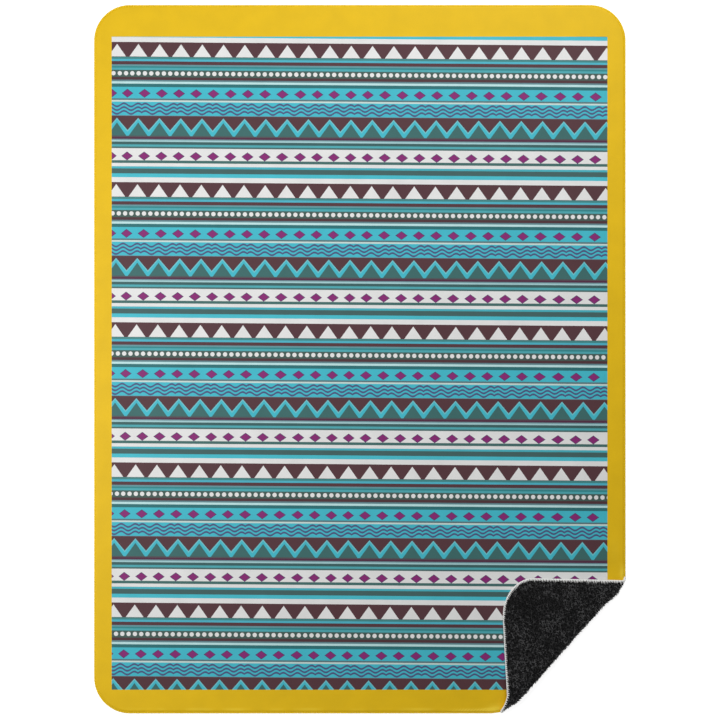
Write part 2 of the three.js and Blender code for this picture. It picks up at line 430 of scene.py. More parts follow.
def ramp(tree, share, stops, interpolation="LINEAR"):
    """A colour ramp: stops are (place, colour)."""
    made = add_node(tree, "ShaderNodeValToRGB", {0: share})
    made.color_ramp.interpolation = interpolation
    elements = made.color_ramp.elements
    while len(elements) < len(stops):
        elements.new(1)
    for element, (place, colour) in zip(elements, stops):
        element.position = place
        element.color = colour
    return made.outputs[0]


def new_material(name, roughness, sheen, sheen_roughness):
    """A soft cloth's material, with its node tree and shader."""
    made = bpy.data.materials.new(name)
    made.use_nodes = True
    tree = made.node_tree
    shader = tree.nodes["Principled BSDF"]
    shader.inputs["Roughness"].default_value = roughness
    shader.inputs["Specular IOR Level"].default_value = 0.2
    shader.inputs["Sheen Weight"].default_value = sheen
    shader.inputs["Sheen Roughness"].default_value = sheen_roughness
    return made, tree, shader


def connect_bump(tree, shader, height, strength, distance):
    """Fine relief of the fibres, from a height to the shader's normal."""
    bump = add_node(
        tree,
        "ShaderNodeBump",
        {"Strength": strength, "Distance": distance, "Height": height},
    )
    tree.links.new(bump.outputs[0], shader.inputs["Normal"])


pile_paint, tree, shader = new_material("black_sherpa", 0.95, 0.1, 0.5)
place = add_node(tree, "ShaderNodeTexCoord").outputs["Object"]
curls = add_node(
    tree, "ShaderNodeTexVoronoi", {"Vector": place, "Scale": 260.0}, feature="SMOOTH_F1"
)
fluff = add_node(
    tree, "ShaderNodeTexNoise", {"Vector": place, "Scale": 420.0, "Detail": 3.0}
)
patches = add_node(
    tree, "ShaderNodeTexNoise", {"Vector": place, "Scale": 28.0, "Detail": 2.0}
)
fleck = calc(tree, "MULTIPLY_ADD", fluff.outputs[0], 0.6, curls.outputs["Distance"])
fleck = calc(tree, "MULTIPLY_ADD", patches.outputs[0], 0.4, fleck)
pile_colour = ramp(
    tree,
    fleck,
    (
        (0.45, srgb(30, 30, 31)),
        (0.8, srgb(12, 12, 13)),
        (1.0, srgb(4, 4, 5)),
    ),
)
tree.links.new(pile_colour, shader.inputs["Base Color"])
pile_height = calc(tree, "SUBTRACT", fluff.outputs[0], curls.outputs["Distance"])
connect_bump(tree, shader, pile_height, 0.9, 0.0016)
sherpa_mesh.materials.append(pile_paint)
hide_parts("sherpa_panel")
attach(sherpa, "root")


# Curls of the sherpa. Small hooked locks of black yarn stand in rows on the turned corner
# and round its bend, where the backing shows; each is turned and shaded a little apart.
CURL_PITCH = 0.0056
CURL_RINGS = 6
CURL_SIDES = 4
CURL_TURN = 46
CURL_RADIUS = 0.0019
CURL_THICK = 0.0012
CURL_THIN = 0.0006
CURL_RISE = 0.0030
CURL_FOOT = 0.0016
CURL_EDGE = 0.0056
CURL_ROW = 0.87
CURL_FIELD = (0.30, 0.56)
CURL_START = (-0.016, -0.03)
CURL_STRAY = 0.3
CURL_SIZES = (0.65, 1.55)
CURL_CLEAR = 0.0003
CREASE_SHADE = 230
TIP_SHADE = 0.3
MAP_MARGIN = 0.06
CLUMP_SHADE = 2.2
PATCH_SHADE = 2.1
FLUFF_SHADE = 0.4
SHADE_SCALE = 0.48
SHADE_SHIFT = -0.54

curl_bm = bmesh.new()
ring = bmesh.ops.create_circle(curl_bm, segments=CURL_SIDES, radius=CURL_THICK)["verts"]
upright = Matrix.Rotation(math.pi / 2, 3, "X")
bmesh.ops.rotate(curl_bm, verts=ring, matrix=upright)
bmesh.ops.translate(curl_bm, verts=ring, vec=(CURL_RADIUS, 0, 0))
edges = curl_bm.edges[:]
swing = Matrix.Rotation(math.radians(CURL_TURN), 3, "Z")
shrink = (CURL_THIN / CURL_THICK) ** (1 / (CURL_RINGS - 1))
for step in range(CURL_RINGS - 1):
    grown = bmesh.ops.extrude_edge_only(curl_bm, edges=edges)["geom"]
    ring = [part for part in grown if isinstance(part, bmesh.types.BMVert)]
    edges = [part for part in grown if isinstance(part, bmesh.types.BMEdge)]
    bmesh.ops.rotate(curl_bm, verts=ring, matrix=swing)
    bmesh.ops.translate(curl_bm, verts=ring, vec=(0, 0, CURL_RISE / (CURL_RINGS - 1)))
    middle = sum((vert.co for vert in ring), Vector()) / len(ring)
    for vert in ring:
        vert.co = middle + (vert.co - middle) * shrink
bmesh.ops.contextual_create(curl_bm, geom=edges)
bmesh.ops.triangulate(curl_bm, faces=curl_bm.faces)
bmesh.ops.recalc_face_normals(curl_bm, faces=curl_bm.faces)
curl_bm.verts.index_update()
curl_points = np.array([vert.co[:] for vert in curl_bm.verts])
curl_faces = np.array([[vert.index for vert in face.verts] for face in curl_bm.faces])
curl_bm.free()


def tile_mesh(name, points, faces, count, smooth=True):
    """One mesh of many copies: points holds each copy's corners in turn."""
    per_copy = len(points) // count
    all_faces = (faces[None] + np.arange(count)[:, None, None] * per_copy).reshape(-1)
    mesh = bpy.data.meshes.new(name)
    mesh.vertices.add(len(points))
    mesh.vertices.foreach_set("co", points.ravel())
    mesh.loops.add(len(all_faces))
    mesh.loops.foreach_set("vertex_index", all_faces)
    sides = faces.shape[1]
    mesh.polygons.add(len(all_faces) // sides)
    mesh.polygons.foreach_set("loop_start", np.arange(0, len(all_faces), sides))
    mesh.polygons.foreach_set("loop_total", np.full(len(all_faces) // sides, sides))
    mesh.polygons.foreach_set("use_smooth", np.full(len(all_faces) // sides, smooth))
    mesh.update(calc_edges=True)
    return mesh, all_faces


def map_in_cells(mesh, corners, local, count):
    """Gives each copy a square of the map of its own; local is 0 to 1 for each corner."""
    across_map = math.ceil(math.sqrt(count))
    copy = np.repeat(np.arange(count), len(corners) // count)
    cell = np.stack((copy % across_map, copy // across_map), axis=1)
    inside = MAP_MARGIN + (1 - 2 * MAP_MARGIN) * local[corners]
    own_map = mesh.uv_layers.new(name="OFBake")
    own_map.data.foreach_set("uv", ((cell + inside) / across_map).ravel())


rng = np.random.default_rng(8449)
row_count = int(CURL_FIELD[0] / (CURL_PITCH * CURL_ROW))
column_count = int(CURL_FIELD[1] / CURL_PITCH)
rows, columns = np.meshgrid(np.arange(row_count), np.arange(column_count))
curl_level = CURL_START[0] + rows.ravel() * CURL_PITCH * CURL_ROW
curl_t = CURL_START[1] + (columns.ravel() + 0.5 * (rows.ravel() % 2)) * CURL_PITCH
stray = rng.uniform(-CURL_STRAY, CURL_STRAY, curl_level.shape)
curl_level = curl_level + stray * CURL_PITCH
stray = rng.uniform(-CURL_STRAY, CURL_STRAY, curl_t.shape)
curl_t = curl_t + stray * CURL_PITCH
curl_x = fold_top[0] + across[0] * curl_level + along[0] * curl_t
curl_y = fold_top[1] + across[1] * curl_level + along[1] * curl_t
turn_there = (curl_level + bend_at(curl_t) + THICKNESS / 2) / bend_at(curl_t)
kept = (depth_of(curl_x, curl_y) > CURL_EDGE) & (turn_there > 0.5)
curl_x, curl_y = curl_x[kept], curl_y[kept]
curl_count = len(curl_x)
spin = rng.uniform(0, 2 * math.pi, (curl_count, 1))
size = rng.uniform(*CURL_SIZES, (curl_count, 1))
local_x = (np.cos(spin) * curl_points[:, 0] - np.sin(spin) * curl_points[:, 1]) * size
local_y = (np.sin(spin) * curl_points[:, 0] + np.cos(spin) * curl_points[:, 1]) * size
local_z = curl_points[:, 2] * size
spot_x = (curl_x[:, None] + local_x).ravel()
spot_y = (curl_y[:, None] + local_y).ravel()
curl_base = lay(curl_x, curl_y, np.zeros(curl_count))
dent = crease_depth(curl_base[:, 0] - CENTRE_X, curl_base[:, 1] - CENTRE_Y)
foot = CURL_FOOT + dent
curl_height = (foot[:, None] - local_z).ravel()
curl_places = lay(spot_x, spot_y, curl_height)
curl_places[:, 2] = np.maximum(curl_places[:, 2], CURL_CLEAR)
curl_mesh, curl_corners = tile_mesh("sherpa_curls", curl_places, curl_faces, curl_count)
spread = curl_points[:, :2] - curl_points[:, :2].min(axis=0)
spread = spread / spread.max(axis=0)
map_in_cells(curl_mesh, curl_corners, np.tile(spread, (curl_count, 1)), curl_count)
shade = curl_mesh.attributes.new("shade", "FLOAT", "POINT")
# Painted shade: curls pressed into the soft dents are darker
tone = rng.uniform(0, 1, curl_count) - CREASE_SHADE * dent
# Painted shade and highlight: each curl darkens towards its root and lightens towards its tip
tip = curl_points[:, 2] / curl_points[:, 2].max()
curl_shade = tone[:, None] * (1 - TIP_SHADE) + tip * TIP_SHADE
shade.data.foreach_set("value", curl_shade.ravel())
sherpa_curls = bpy.data.objects.new("sherpa_curls", curl_mesh)
bpy.context.collection.objects.link(sherpa_curls)

curl_paint, tree, shader = new_material("black_curls", 0.9, 0.12, 0.5)
tone = add_node(tree, "ShaderNodeAttribute", attribute_name="shade").outputs["Fac"]
place = add_node(tree, "ShaderNodeTexCoord").outputs["Object"]
fluff = add_node(
    tree, "ShaderNodeTexNoise", {"Vector": place, "Scale": 900.0, "Detail": 2.0}
)
clumps = add_node(
    tree, "ShaderNodeTexNoise", {"Vector": place, "Scale": 95.0, "Detail": 2.0}
)
patches = add_node(
    tree, "ShaderNodeTexNoise", {"Vector": place, "Scale": 20.0, "Detail": 2.0}
)
tone = calc(tree, "MULTIPLY_ADD", clumps.outputs[0], CLUMP_SHADE, tone)
tone = calc(tree, "MULTIPLY_ADD", patches.outputs[0], PATCH_SHADE, tone)
tone = calc(tree, "MULTIPLY_ADD", fluff.outputs[0], FLUFF_SHADE, tone)
tone = calc(tree, "MULTIPLY_ADD", tone, SHADE_SCALE, SHADE_SHIFT)
curl_colour = ramp(
    tree,
    tone,
    (
        (0.50, srgb(7, 7, 8)),
        (0.74, srgb(27, 27, 28)),
        (0.88, srgb(52, 52, 53)),
        (1.0, srgb(84, 84, 85)),
    ),
)
tree.links.new(curl_colour, shader.inputs["Base Color"])
connect_bump(tree, shader, fluff.outputs[0], 0.5, 0.0004)
curl_mesh.materials.append(curl_paint)
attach(sherpa_curls, "root")


# Printed face. A short plush laid on the backing, cut to the same outline and printed with
# a plain border and rows of stripes, triangles, dots, diamonds, waves and zigzags. It is
# drawn into small slanting puckers at the hem beside the fold.
FACE_LOW = 0.0062
SEAM_FACE_LOW = 0.0041
SEAM_FACE_HIGH = 0.0053
FACE_CELL = 0.016
BEND_CELL = 0.0022
BEND_SPAN = 0.036
BEND_CENTRE = 0.006
PUCKERS = (0.236, 0.392)
PUCKERS_FULL = (0.32, 0.365)
PUCKER_STRIP = 0.024
PUCKER_STARTS = (0.003, 0.008)
PUCKER_CELL = 0.0021
PUCKER_PITCH = 0.0088
PUCKER_LEAN = 1.1
PUCKER_REACH = 0.017
PUCKER_HEIGHT = 0.0012
# How much nearer to the rim the face has its full thickness than the backing has
FACE_TIGHT = 3.0
# Painted highlights: a pale band along the hem beside the fold and pale crests on the puckers,
# where light catches them
HEM_HIGHLIGHT = 0.20
HEM_HIGHLIGHT_GROWS = (0.003, 0.006)
HEM_HIGHLIGHT_FADES = (0.009, 0.019)
HEM_HIGHLIGHT_ACROSS = (0.216, 0.34)
CREST_HIGHLIGHT = 1.3
# Painted highlights, pale spots where light catches the border by the fold's ends: place
# across, up from the hem, halves, share
HIGHLIGHT_SPOTS = (
    (0.386, 0.012, 0.020, 0.011, 0.75),
    (0.402, 0.035, 0.006, 0.022, 0.30),
    (0.754, 0.404, 0.008, 0.018, 0.70),
    (0.734, 0.470, 0.006, 0.035, 0.20),
)

face_cut = cut_sheet(FACE_CELL)
bend_parts = parts_where(
    face_cut, lambda p: abs(level_of(p.x, p.y) - BEND_CENTRE) < BEND_SPAN
)
bend_middle = flap_middle + across * BEND_CENTRE
cut_lines(face_cut, bend_parts, across, BEND_SPAN, BEND_CELL, bend_middle)
pucker_middle = (sum(PUCKERS) / 2, -LENGTH / 2)
pucker_parts = parts_where(
    face_cut,
    lambda p: PUCKERS[0] < p.x < PUCKERS[1] and p.y < PUCKER_STRIP - LENGTH / 2,
)
pucker_half = (PUCKERS[1] - PUCKERS[0]) / 2
pucker_parts = cut_lines(
    face_cut, pucker_parts, (1, 0), pucker_half, PUCKER_CELL, pucker_middle
)
cut_lines(face_cut, pucker_parts, (0, 1), PUCKER_STRIP, PUCKER_CELL, pucker_middle)
thicken(face_cut)
face_mesh, face_flat = to_mesh(face_cut, "printed_face")
face_x, face_y, is_upper = face_flat.T
face_depth = depth_of(face_x, face_y)
up_from_hem = face_y + LENGTH / 2
face_loft = loft(face_depth * FACE_TIGHT)
face_low = SEAM_FACE_LOW + (FACE_LOW - SEAM_FACE_LOW) * face_loft
face_high = SEAM_FACE_HIGH + (THICKNESS - SEAM_FACE_HIGH) * face_loft
ridge = np.sin((face_x - PUCKER_LEAN * up_from_hem) * 2 * math.pi / PUCKER_PITCH)
ridge = ridge * ease(up_from_hem, *PUCKER_STARTS)
ridge = ridge * (1 - ease(up_from_hem, PUCKER_STARTS[1], PUCKER_REACH))
ridge = ridge * ease(face_x, PUCKERS[0], PUCKERS_FULL[0])
ridge = ridge * (1 - ease(face_x, PUCKERS_FULL[1], PUCKERS[1]))
face_high = face_high + PUCKER_HEIGHT * ridge
# Painted highlight: how pale each upper corner is painted, along the hem, on the pucker crests
# and in the spots below; the shader reads it
highlight_share = HEM_HIGHLIGHT * ease(up_from_hem, *HEM_HIGHLIGHT_GROWS)
highlight_share = highlight_share * (1 - ease(up_from_hem, *HEM_HIGHLIGHT_FADES))
highlight_share = highlight_share * ease(face_x, *HEM_HIGHLIGHT_ACROSS) + CREST_HIGHLIGHT * np.maximum(ridge, 0)
for at_x, up, half_x, half_up, share in HIGHLIGHT_SPOTS:
    spot = ((face_x - at_x) / half_x) ** 2 + ((up_from_hem - up) / half_up) ** 2
    highlight_share = highlight_share + share * np.exp(-spot)
highlight_share = np.where(is_upper > 0.5, highlight_share, 0)
painted_highlight = face_mesh.attributes.new("painted_highlight", "FLOAT", "POINT")
painted_highlight.data.foreach_set("value", np.clip(highlight_share, 0, 1))
face_height = np.where(is_upper > 0.5, face_high, face_low)
face = show(face_mesh, lay(face_x, face_y, face_height), "printed_face")

# The print's place in metres, and below it the rows and motifs in millimetres
BORDER_LEFT = 0.0502
BORDER_TOP = 0.0909
PRINT_WIDTH = 1.4220
PRINT_HEIGHT = 1.8732
PRINT_TURN = 0.461
PRINT_LEAN = 0.00671
FIRST_ROW = 14.7
REPEAT = 402.05
TRIANGLE_FIRST = 15.9
TRIANGLE_PITCH = 61.05
TRIANGLE_SLOPE = 0.712
TRIANGLE_TIP = 5.6
TRIANGLE_FOOT = 41.6
DOT_FIRST = 23.8
DOT_PITCH = 18.09
DOT_ROW = 89.8
DOT_RADIUS = 6.2
DIAMOND_ROWS = (147.0, 326.9)
DIAMOND_PITCH = 49.6
DIAMOND_HALF_WIDE = 17.6
DIAMOND_HALF_HIGH = 12.8
DIAMOND_INSIDE = 0.84
DIAMOND_SPAN = 1450
DIAMOND_COUNT = 30
LAST_DIAMOND = 1412
WAVE_FIRST = 87.5
WAVE_GROUP = 101.7
WAVE_LENGTH = 40.68
WAVE_SWING = 4.4
WAVE_PITCH = 10.7
WAVE_ROW = 180.6
WAVE_HALF = 2.75
WAVE_SPAN = (176.7, 206.2)
WAVE_BAND = (169.9, 209.4)
ZIGZAG_FIRST = 16.6
ZIGZAG_BAND = (210.8, 269.0)
ZIGZAG_SLOPE = 1.16
ZIGZAG_LIGHT = 217.5
ZIGZAG_FLAT = 222.4
FILL_SLOPE = 1.4
FILL_TOP = 230.7
YELLOW = srgb(233, 190, 5)
CREAM = srgb(231, 231, 230)
BROWN = srgb(85, 52, 58)
TURQUOISE = srgb(66, 187, 204)
TEAL = srgb(60, 107, 105)
DULL_TURQUOISE = srgb(77, 169, 178)
PURPLE = srgb(136, 36, 114)
DIAMOND_EDGE = srgb(78, 62, 104)
NAVY = srgb(76, 88, 128)
LIGHT_ZIGZAG = srgb(112, 196, 206)
# A pale yellow for the painted highlights on the border
HIGHLIGHT_YELLOW = srgb(255, 222, 60)
# The rows of one repeat: where each ends, in millimetres down, and its colour
ROWS = (
    (41.9, BROWN),
    (48.2, srgb(66, 136, 136)),
    (53.8, srgb(77, 180, 200)),
    (64.1, BROWN),
    (67.6, srgb(98, 150, 158)),
    (73.1, srgb(46, 136, 140)),
    (79.0, DULL_TURQUOISE),
    (99.6, srgb(68, 92, 86)),
    (108.2, srgb(80, 48, 54)),
    (111.8, srgb(98, 136, 144)),
    (118.8, srgb(190, 228, 229)),
    (127.8, srgb(42, 112, 116)),
    (161.2, TURQUOISE),
    (165.7, srgb(90, 120, 125)),
    (169.9, srgb(204, 222, 216)),
    (209.4, TURQUOISE),
    (210.8, srgb(110, 112, 124)),
    (269.0, BROWN),
    (270.4, srgb(82, 96, 100)),
    (277.9, srgb(84, 42, 66)),
    (279.6, srgb(110, 146, 156)),
    (284.7, srgb(165, 206, 210)),
    (293.6, srgb(57, 97, 97)),
    (298.9, DULL_TURQUOISE),
    (304.3, srgb(70, 106, 104)),
    (337.7, CREAM),
    (346.3, srgb(66, 108, 104)),
    (356.2, CREAM),
    (361.9, srgb(70, 178, 192)),
    (376.9, srgb(65, 99, 98)),
    (387.0, srgb(70, 190, 206)),
    (402.05, CREAM),
)

face_paint, tree, shader = new_material("printed_plush", 0.55, 0.08, 0.3)
shader.inputs["Specular IOR Level"].default_value = 0.3
cloth_map = add_node(tree, "ShaderNodeUVMap", uv_map="OFBake").outputs[0]
split = add_node(tree, "ShaderNodeSeparateXYZ", {0: cloth_map})
right = calc(tree, "MULTIPLY_ADD", split.outputs[0], WIDTH * 1000, -BORDER_LEFT * 1000)
down = calc(
    tree,
    "MULTIPLY_ADD",
    split.outputs[1],
    -LENGTH * 1000,
    (LENGTH - BORDER_TOP) * 1000,
)
turn_cos = math.cos(math.radians(PRINT_TURN))
turn_sin = math.sin(math.radians(PRINT_TURN))
over = calc(tree, "MULTIPLY_ADD", down, PRINT_LEAN, right)
row = calc(tree, "MULTIPLY_ADD", down, turn_cos, -FIRST_ROW)
row = calc(tree, "MULTIPLY_ADD", right, -turn_sin, row)
row = calc(tree, "FLOORED_MODULO", row, REPEAT)
starts = [0, *[end for end, _ in ROWS[:-1]]]
share = calc(tree, "DIVIDE", row, REPEAT)
colour = ramp(
    tree,
    share,
    [(start / REPEAT, tint) for start, (_, tint) in zip(starts, ROWS)],
    "CONSTANT",
)


def paint(under, tint, mask):
    """Lays a tint over a colour where the mask is 1."""
    made = add_node(tree, "ShaderNodeMix", {0: mask}, data_type="RGBA")
    for socket, value in ((made.inputs[6], under), (made.inputs[7], tint)):
        if isinstance(value, bpy.types.NodeSocket):
            tree.links.new(value, socket)
        else:
            socket.default_value = value
    return made.outputs[2]


def all_of(*masks):
    """1 where every mask is 1."""
    made = masks[0]
    for mask in masks[1:]:
        made = calc(tree, "MULTIPLY", made, mask)
    return made


def between(value, low, high):
    """1 where the value lies between low and high."""
    return all_of(
        calc(tree, "GREATER_THAN", value, low), calc(tree, "LESS_THAN", value, high)
    )


def from_nearest(first, pitch):
    """Distance along the row to the nearest of evenly spaced centres."""
    moved = calc(tree, "SUBTRACT", over, first)
    return calc(tree, "PINGPONG", moved, pitch / 2)


aside = from_nearest(TRIANGLE_FIRST, TRIANGLE_PITCH)
slope = calc(
    tree, "MULTIPLY_ADD", row, TRIANGLE_SLOPE, -TRIANGLE_SLOPE * TRIANGLE_TIP
)
triangles = all_of(
    calc(tree, "LESS_THAN", aside, slope), calc(tree, "LESS_THAN", row, TRIANGLE_FOOT)
)
colour = paint(colour, CREAM, triangles)

aside = from_nearest(DOT_FIRST, DOT_PITCH)
above = calc(tree, "SUBTRACT", row, DOT_ROW)
reach = calc(tree, "MULTIPLY", aside, aside)
reach = calc(tree, "MULTIPLY_ADD", above, above, reach)
colour = paint(colour, CREAM, calc(tree, "LESS_THAN", reach, DOT_RADIUS**2))

# The diamonds stand unevenly: where some are, in millimetres, and their number in the row
DIAMONDS = (
    (1, 0),
    (46, 1),
    (490.5, 10),
    (543, 11),
    (735.5, 15),
    (1233, 25),
    (1288, 26),
    (1440, 29),
)
number = ramp(
    tree,
    calc(tree, "DIVIDE", over, DIAMOND_SPAN),
    [
        (place / DIAMOND_SPAN, (count / DIAMOND_COUNT,) * 3 + (1,))
        for place, count in DIAMONDS
    ],
)
number = calc(tree, "MULTIPLY", number, DIAMOND_COUNT)
aside = calc(tree, "PINGPONG", number, 0.5)
aside = calc(tree, "MULTIPLY", aside, DIAMOND_PITCH / DIAMOND_HALF_WIDE)
aside = calc(tree, "ADD", aside, calc(tree, "GREATER_THAN", over, LAST_DIAMOND))
for middle in DIAMOND_ROWS:
    above = calc(tree, "ABSOLUTE", calc(tree, "SUBTRACT", row, middle))
    reach = calc(tree, "MULTIPLY_ADD", above, 1 / DIAMOND_HALF_HIGH, aside)
    colour = paint(colour, DIAMOND_EDGE, calc(tree, "LESS_THAN", reach, 1.0))
    colour = paint(colour, PURPLE, calc(tree, "LESS_THAN", reach, DIAMOND_INSIDE))

unit = calc(tree, "SUBTRACT", over, WAVE_FIRST)
unit = calc(tree, "FLOORED_MODULO", unit, WAVE_GROUP)
wave = calc(tree, "SINE", calc(tree, "MULTIPLY", unit, 2 * math.pi / WAVE_LENGTH))
straight = calc(tree, "MULTIPLY_ADD", wave, WAVE_SWING, row)
nearest = calc(tree, "SUBTRACT", straight, WAVE_ROW)
nearest = calc(tree, "PINGPONG", nearest, WAVE_PITCH / 2)
waves = all_of(
    calc(tree, "LESS_THAN", nearest, WAVE_HALF),
    between(straight, *WAVE_SPAN),
    between(row, *WAVE_BAND),
)
colour = paint(colour, NAVY, waves)

aside = from_nearest(ZIGZAG_FIRST, TRIANGLE_PITCH)
in_zigzag = between(row, *ZIGZAG_BAND)
upper = calc(tree, "MULTIPLY_ADD", aside, -ZIGZAG_SLOPE, row)
outer = all_of(calc(tree, "GREATER_THAN", upper, ZIGZAG_LIGHT), in_zigzag)
inner = all_of(calc(tree, "GREATER_THAN", upper, ZIGZAG_FLAT), in_zigzag)
lower = calc(tree, "MULTIPLY_ADD", aside, -FILL_SLOPE, row)
filled = all_of(calc(tree, "GREATER_THAN", lower, FILL_TOP), in_zigzag)
colour = paint(colour, LIGHT_ZIGZAG, outer)
colour = paint(colour, TURQUOISE, inner)
colour = paint(colour, TEAL, filled)

printed = all_of(
    between(right, 0, PRINT_WIDTH * 1000), between(down, 0, PRINT_HEIGHT * 1000)
)
colour = paint(YELLOW, colour, printed)

# Painted highlight: small slanting pale dashes along the hem, and their strip: how far up it,
# and how strong
DASH_PITCH = 5.6
DASH_STRIP = 30
DASH_SHARES = ((0.2, 0), (0.3, 1), (0.42, 1), (0.6, 0))
HIGHLIGHT_MOST = 0.95
NAP_TINT = 0.16
STROKE_TINT = 0.17
LEAST_TINT = 0.835

place = add_node(tree, "ShaderNodeTexCoord").outputs["Object"]
up = calc(tree, "MULTIPLY", split.outputs[1], LENGTH * 1000)
slanted = calc(tree, "MULTIPLY_ADD", up, -PUCKER_LEAN, right)
highlight_dashes = calc(tree, "MULTIPLY", slanted, 2 * math.pi / DASH_PITCH)
highlight_dashes = calc(tree, "SINE", highlight_dashes)
highlight_dashes = calc(tree, "MULTIPLY_ADD", highlight_dashes, 0.5, 0.3)
dash_strip = ramp(
    tree,
    calc(tree, "DIVIDE", up, DASH_STRIP),
    [(at, (share,) * 3 + (1,)) for at, share in DASH_SHARES],
)
dash_patches = add_node(tree, "ShaderNodeTexNoise", {"Vector": place, "Scale": 9.0})
dash_patches = ramp(tree, dash_patches.outputs[0], [(0.46, (0, 0, 0, 1)), (0.6, (1, 1, 1, 1))])
# Painted highlights: the pale spots and crests from the mesh and the hem dashes turn the
# colour towards a light yellow
painted_highlight = add_node(tree, "ShaderNodeAttribute", attribute_name="painted_highlight").outputs["Fac"]
painted_highlight = calc(tree, "ADD", painted_highlight, all_of(highlight_dashes, dash_strip, dash_patches))
painted_highlight = calc(tree, "MINIMUM", painted_highlight, HIGHLIGHT_MOST)
colour = paint(colour, HIGHLIGHT_YELLOW, painted_highlight)

nap = add_node(
    tree, "ShaderNodeTexNoise", {"Vector": place, "Scale": 700.0, "Detail": 3.0}
)
strokes = add_node(
    tree, "ShaderNodeTexNoise", {"Vector": place, "Scale": 16.0, "Detail": 3.0}
)
tint = calc(tree, "MULTIPLY_ADD", nap.outputs[0], NAP_TINT, LEAST_TINT)
tint = calc(tree, "MULTIPLY_ADD", strokes.outputs[0], STROKE_TINT, tint)
worn = add_node(tree, "ShaderNodeVectorMath", {0: colour}, operation="SCALE")
tree.links.new(tint, worn.inputs["Scale"])
tree.links.new(worn.outputs[0], shader.inputs["Base Color"])
grain = calc(tree, "MULTIPLY_ADD", strokes.outputs[0], 1.5, nap.outputs[0])
connect_bump(tree, shader, grain, 0.35, 0.0008)
face_mesh.materials.append(face_paint)
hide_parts("face_panel")
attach(face, "root")


# Overlock. Soft textured thread wraps the rim of both layers: a dense bed over the cut
# edges, and looped stitches that reach in to the needle line. It is white where the
# backing shows and takes the border's yellow from the print on the face.
STITCH_COUNT = 1416
STITCH_REACH = 0.0066
STITCH_LEAN = 0.45
STITCH_PULL = (0.65, 1.25)
STITCH_SHIFT = 0.10
# How far before the turned corner the thread grows tighter, and by what share
HEM_TAPER = 0.30
STITCH_BITE = 0.15
BED_BITE = 0.65
WHITE_REACH = 0.012
WHITE_EDGE = 0.003
THREAD_WIDE = 0.00085
THREAD_END = 0.0004
THREAD_HIGH = 0.00034
THREAD_TAPER = 0.002
THREAD_CLEAR = 0.0001
BED_REACH = 0.0013
BED_RIDGE = 0.00010
BED_STEPS = 2 * STITCH_COUNT
SEAM_INSIDE = 0.003
SEAM_FOOT = 0.0003
THREAD = 0.0006

straight_x = WIDTH - 2 * CORNER_RADIUS
straight_y = LENGTH - 2 * CORNER_RADIUS
arc = math.pi / 2 * CORNER_RADIUS
rim_length = 2 * (straight_x + straight_y) + 4 * arc


def rim_point(run, depth):
    """Flat place at a run along the rim, anticlockwise from the right side's foot."""
    run = np.mod(run, rim_length)
    x = np.zeros_like(run)
    y = np.zeros_like(run)
    start = 0
    for quarter in range(4):
        turn = quarter * math.pi / 2
        side = straight_y if quarter % 2 == 0 else straight_x
        half_out = (WIDTH if quarter % 2 == 0 else LENGTH) / 2
        here = (run >= start) & (run < start + side)
        out = half_out - depth
        up = run - start - side / 2
        x = np.where(here, out * math.cos(turn) - up * math.sin(turn), x)
        y = np.where(here, out * math.sin(turn) + up * math.cos(turn), y)
        start += side
        here = (run >= start) & (run < start + arc)
        swing = turn + (run - start) / CORNER_RADIUS
        middle_x = (WIDTH / 2 - CORNER_RADIUS) * (1 if quarter in (0, 3) else -1)
        middle_y = (LENGTH / 2 - CORNER_RADIUS) * (1 if quarter in (0, 1) else -1)
        x = np.where(here, middle_x + (CORNER_RADIUS - depth) * np.cos(swing), x)
        y = np.where(here, middle_y + (CORNER_RADIUS - depth) * np.sin(swing), y)
        start += arc
    return x, y


def seam_height(depth, side):
    """Heights of the thread's path: side runs from 0, under the backing, to 1, on top."""
    return SEAM_FOOT + THREAD / 2 + (SEAM_HIGH - SEAM_FOOT - THREAD) * side


# The bed's section: depth in from the rim and side, round the rim
bed_section = np.array(
    [
        (BED_REACH, 0.10),
        (0.0010, 0.02),
        (0.0007, 0.02),
        (-0.0003, 0.22),
        (-0.0006, 0.5),
        (-0.0003, 0.78),
        (0.0007, 0.98),
        (0.0010, 0.98),
        (BED_REACH, 0.90),
    ]
)
bed_width = len(bed_section)
bed_runs = np.arange(BED_STEPS) * rim_length / BED_STEPS
bed_run = np.repeat(bed_runs, bed_width)
bed_depth = np.tile(bed_section[:, 0], BED_STEPS)
bed_side = np.tile(bed_section[:, 1], BED_STEPS)
bed_ridge = BED_RIDGE * np.cos(bed_run / rim_length * STITCH_COUNT * 4 * math.pi)
hem_end = rim_length - arc
at_hem = ease(bed_run, hem_end - HEM_TAPER, hem_end)
bed_depth = np.where(bed_depth > 0, bed_depth * (1 - BED_BITE * at_hem), bed_depth)
bed_x, bed_y = rim_point(bed_run, bed_depth - bed_ridge)
bed_places = lay(bed_x, bed_y, seam_height(bed_depth, bed_side))
first = np.arange(BED_STEPS * bed_width).reshape(BED_STEPS, bed_width)
after = np.roll(first, -1, axis=0)
bed_faces = np.stack(
    (first[:, :-1], after[:, :-1], after[:, 1:], first[:, 1:]), axis=-1
).reshape(-1, 4)

